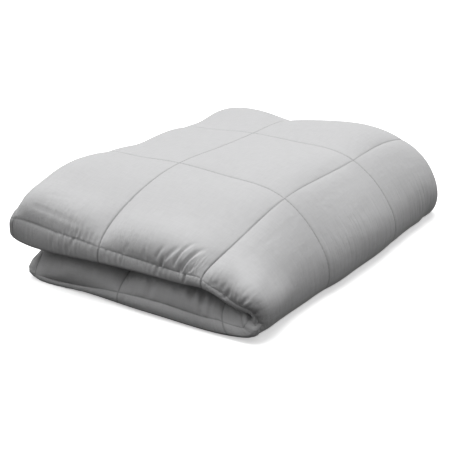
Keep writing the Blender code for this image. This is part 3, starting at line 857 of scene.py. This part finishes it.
def cottonMaterial():
    # heathered plain weave with a painted shadow along the seams, laid out on the flat cut
    material = bpy.data.materials.new("cotton")
    material.use_nodes = True
    tree = material.node_tree
    shader = tree.nodes["Principled BSDF"]
    place = attributeNode(tree, "cutPlace").outputs["Vector"]
    tint = tree.nodes.new("ShaderNodeVectorMath")
    tint.operation = "SCALE"
    tint.inputs[0].default_value = cotton["colour"]
    tree.links.new(heatherAndSeamShadow(tree, place), tint.inputs["Scale"])
    tree.links.new(tint.outputs[0], shader.inputs["Base Color"])
    normal = None
    for height, depth in cottonHeights(tree, place):
        bump = tree.nodes.new("ShaderNodeBump")
        bump.inputs["Strength"].default_value = 1
        bump.inputs["Distance"].default_value = depth
        tree.links.new(height, bump.inputs["Height"])
        if normal:
            tree.links.new(normal, bump.inputs["Normal"])
        normal = bump.outputs[0]
    tree.links.new(normal, shader.inputs["Normal"])
    shader.inputs["Roughness"].default_value = cotton["roughness"]
    shader.inputs["Specular IOR Level"].default_value = cotton["specular"]
    shader.inputs["Sheen Weight"].default_value = cotton["sheen"]
    shader.inputs["Sheen Roughness"].default_value = cotton["sheenRoughness"]
    return material


def threadMaterial():
    material = bpy.data.materials.new("thread")
    material.use_nodes = True
    shader = material.node_tree.nodes["Principled BSDF"]
    shader.inputs["Base Color"].default_value = (*thread["colour"], 1)
    shader.inputs["Roughness"].default_value = thread["roughness"]
    return material


# one stitch, in centimetres: along the seam, up from the cloth, and its radius
stitch = {
    "pitch": 0.54,
    "along": (-0.19, -0.12, 0.12, 0.19),
    "up": (-0.03, 0.02, 0.02, -0.03),
    "radius": (0.012, 0.034, 0.034, 0.012),
    "sides": 4,
}


def stitchRun(path, normals, places):
    # stitches along one seam: points and faces
    count = int((places[-1] - places[0]) / stitch["pitch"])
    centres = places[0] + (np.arange(count) + 0.5) * (places[-1] - places[0]) / count
    tangents = np.gradient(path, places, axis=0)
    at, up, run = (np.column_stack([np.interp(centres, places, field[:, k]) for k in range(3)])
                   for field in (path, normals, tangents))
    run /= np.linalg.norm(run, axis=1)[:, None]
    side = np.cross(run, up)
    side /= np.linalg.norm(side, axis=1)[:, None]
    up = np.cross(side, run)
    sides, stations = stitch["sides"], len(stitch["along"])
    rings = []
    for along, lift, radius in zip(stitch["along"], stitch["up"], stitch["radius"]):
        for k in range(sides):
            turn = 2 * math.pi * (k + 0.5) / sides
            rings.append(at + run * along + up * (lift + radius * math.sin(turn))
                         + side * radius * math.cos(turn))
    points = np.stack(rings, axis=1).reshape(-1, 3)
    faces = []
    for ring in range(stations - 1):
        for k in range(sides):
            a, b = ring * sides + k, ring * sides + (k + 1) % sides
            faces.append((a, b, b + sides, a + sides))
    faces += [tuple(range(sides)), tuple(reversed(range((stations - 1) * sides, stations * sides)))]
    each = sides * stations
    return points, (np.array(faces)[None] + each * np.arange(count)[:, None, None]).reshape(-1, 4)


def makeStitches(cutU, cutV, out, show):
    points, faces, total = [], [], 0
    runs = [(show[i], out[i], cutV) for i in (int(np.argmin(abs(cutU - s))) for s in seamsU)]
    runs += [(show[:, j], out[:, j], cutU) for j in (int(np.argmin(abs(cutV - s))) for s in seamsV)]
    for path, normals, places in runs:
        runPoints, runFaces = stitchRun(path, normals, places)
        points.append(runPoints)
        faces.append(runFaces + total)
        total += len(runPoints)
    addPiece("stitches", np.concatenate(points), np.concatenate(faces).tolist(), threadMaterial())
    print("stitches:", total // (stitch["sides"] * len(stitch["along"])))


def addPiece(name, points, faces, material):
    mesh = bpy.data.meshes.new(name)
    placed = np.maximum(points, (-math.inf, -math.inf, 0)) - (*lie["middle"], 0)
    mesh.from_pydata((placed * cm).tolist(), [], faces)
    mesh.materials.append(material)
    mesh.shade_smooth()
    piece = bpy.data.objects.new(name, mesh)
    bpy.context.scene.collection.objects.link(piece)
    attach(piece, "root")
    return piece


# where the painted shadow along each seam is clear, and where the cloth is slack, in centimetres on the
# cut
clothPlaces = {
    "seamShadowWide": 0.1,
    "clearLeast": 0.5,
    "clearFrom": (36.0, 18.0),  # the painted shadow grows clearer from here to the front, over this far
    "clearMore": (0.4, 0.1),  # by this much, and how unevenly
    "clearTurn": 1.7,
    "slackSide": (41.0, 5.0),
    "slackSideEnds": (35.0, 7.0),
    "slackSideFront": 0.25,  # what is left of it at the front
    "slackHems": (54.5, 2.5),
    "slackHemsSize": (0.6, 0.4),
    "slackHemsTurn": 0.55,
}


# painted shadow along the seams: how dark each point's colour is painted, by its distance from the nearest
# seam, more towards the front
def seamShadowMask(placeU, placeV):
    fromSeam = np.minimum(np.abs(placeU[:, None] - seamsU).min(axis=1),
                          np.abs(placeV[:, None] - seamsV).min(axis=1))
    start, over = clothPlaces["clearFrom"]
    more, swing = clothPlaces["clearMore"]
    more = more + swing * np.sin(placeU * clothPlaces["clearTurn"] + placeV)
    clear = clothPlaces["clearLeast"] + smooth((np.abs(placeV) - start) / over) * more
    return clear * np.exp(-(fromSeam / clothPlaces["seamShadowWide"]) ** 2)


def slackCloth(placeU, placeV):
    # down the side fold, and beside the front hems
    start, over = clothPlaces["slackSideEnds"]
    left = 1 - (1 - clothPlaces["slackSideFront"]) * smooth((placeV - start) / over)
    side = sideFoldShare(placeU, placeV, clothPlaces["slackSide"]) * left
    start, over = clothPlaces["slackHems"]
    middle, swing = clothPlaces["slackHemsSize"]
    uneven = middle + swing * np.sin(placeU * clothPlaces["slackHemsTurn"] + 1)
    hems = smooth((np.abs(placeV) - start) / over) * uneven
    return np.column_stack([side, hems, 0 * side])


def writeAttribute(piece, name, values):
    vector = values.ndim == 2
    attribute = piece.data.attributes.new(name, "FLOAT_VECTOR" if vector else "FLOAT", "POINT")
    attribute.data.foreach_set("vector" if vector else "value", values.ravel())


def makeBlanket():
    cutU, cutV, middle, out, show, back = blanketMesh()
    points, faces, places = closedShell(cutU, cutV, middle, show, back)
    piece = addPiece("quiltedBlanket", points, faces, cottonMaterial())
    placeU, placeV = places.T
    writeAttribute(piece, "cutPlace", np.column_stack([placeU, placeV, 0 * placeU]))
    writeAttribute(piece, "seamShadowMask", seamShadowMask(placeU, placeV))
    writeAttribute(piece, "slack", slackCloth(placeU, placeV))
    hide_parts("blanket")
    print("blanket:", len(cutU), "x", len(cutV), "rows,", len(faces), "faces")
    makeStitches(cutU, cutV, out, show)


makeBlanket()

# floor, light and camera
studio = {
    "floorSize": 12.0,
    "floorColour": 0.95,
    "floorGlow": 0.48,  # the paper is over-exposed, so it reads as white
    "floorBounce": 0.05,  # black cards hold back what the floor throws up at the blanket
    "floorRoughness": 0.9,
    "domeLow": 0.045,  # strength at the horizon
    "domeHigh": 0.63,  # and overhead
    "lamps": {  # bearing from the right side, height, strength, and how broad, in degrees
        "key": (125, 78, 2.1, 40),
        "backFill": (150, 60, 0.32, 50),
        "leftFill": (215, 55, 0.70, 50),
        "rightFill": (30, 6, 0.56, 30),
    },
}


def paperMaterial():
    # camera rays see bright paper, and the blanket sees a darker one
    material = bpy.data.materials.new("palePaper")
    material.use_nodes = True
    tree = material.node_tree
    shader = tree.nodes["Principled BSDF"]
    rays = tree.nodes.new("ShaderNodeLightPath")
    for socket, low, high in (("Base Color", studio["floorBounce"], studio["floorColour"]),
                              ("Emission Color", 0.0, 1.0)):
        mix = tree.nodes.new("ShaderNodeMix")
        mix.data_type = "RGBA"
        mix.inputs["A"].default_value = (low, low, low, 1)
        mix.inputs["B"].default_value = (high, high, high, 1)
        tree.links.new(rays.outputs["Is Camera Ray"], mix.inputs["Factor"])
        tree.links.new(mix.outputs["Result"], shader.inputs[socket])
    shader.inputs["Emission Strength"].default_value = studio["floorGlow"]
    shader.inputs["Roughness"].default_value = studio["floorRoughness"]
    return material


def makeDome():
    # a soft dome of light, bright overhead and dim at the horizon
    world = bpy.data.worlds.new("studioDome")
    world.use_nodes = True
    tree = world.node_tree
    background = tree.nodes["Background"]
    place = tree.nodes.new("ShaderNodeTexCoord")
    height = splitNode(tree, place.outputs["Generated"])["Z"]
    above = mathNode(tree, "MAXIMUM", height, 0.0)
    strength = mathNode(tree, "MULTIPLY_ADD", above, studio["domeHigh"] - studio["domeLow"])
    strength.node.inputs[2].default_value = studio["domeLow"]
    tree.links.new(strength, background.inputs["Strength"])
    background.inputs["Color"].default_value = (1, 1, 1, 1)
    bpy.context.scene.world = world


def makeStudio():
    bpy.ops.mesh.primitive_plane_add(size=studio["floorSize"])
    floor = bpy.context.object
    floor.name = "floor"
    floor.data.materials.append(paperMaterial())
    makeDome()
    for name, (bearing, height, strength, broad) in studio["lamps"].items():
        light = bpy.data.lights.new(name, "SUN")
        light.energy = strength
        light.angle = math.radians(broad)
        lamp = bpy.data.objects.new(name, light)
        lamp.rotation_euler = (0, math.radians(90 - height), math.radians(bearing))
        bpy.context.scene.collection.objects.link(lamp)
    bpy.context.scene.view_settings.view_transform = "Standard"


makeStudio()
print("studio made")

viewer = {
    "azimuth": 33.5,  # degrees round from the front hems
    "elevation": 22.0,
    "distance": 2.006,
    "lookAt": (-0.0563, 0.0425, 0.0),
    "lens": 104,
    "sensor": 36,
    "nearest": 0.05,
}


def makeCamera():
    camera = bpy.data.objects.new("camera", bpy.data.cameras.new("camera"))
    camera.data.lens = viewer["lens"]
    camera.data.sensor_width = viewer["sensor"]
    camera.data.clip_start = viewer["nearest"]
    azimuth, elevation = math.radians(viewer["azimuth"]), math.radians(viewer["elevation"])
    back = Vector((math.sin(azimuth) * math.cos(elevation),
                   -math.cos(azimuth) * math.cos(elevation), math.sin(elevation)))
    camera.location = Vector(viewer["lookAt"]) + back * viewer["distance"]
    camera.rotation_mode = "QUATERNION"
    camera.rotation_quaternion = (-back).to_track_quat("-Z", "Y")
    bpy.context.scene.collection.objects.link(camera)
    bpy.context.scene.camera = camera


makeCamera()
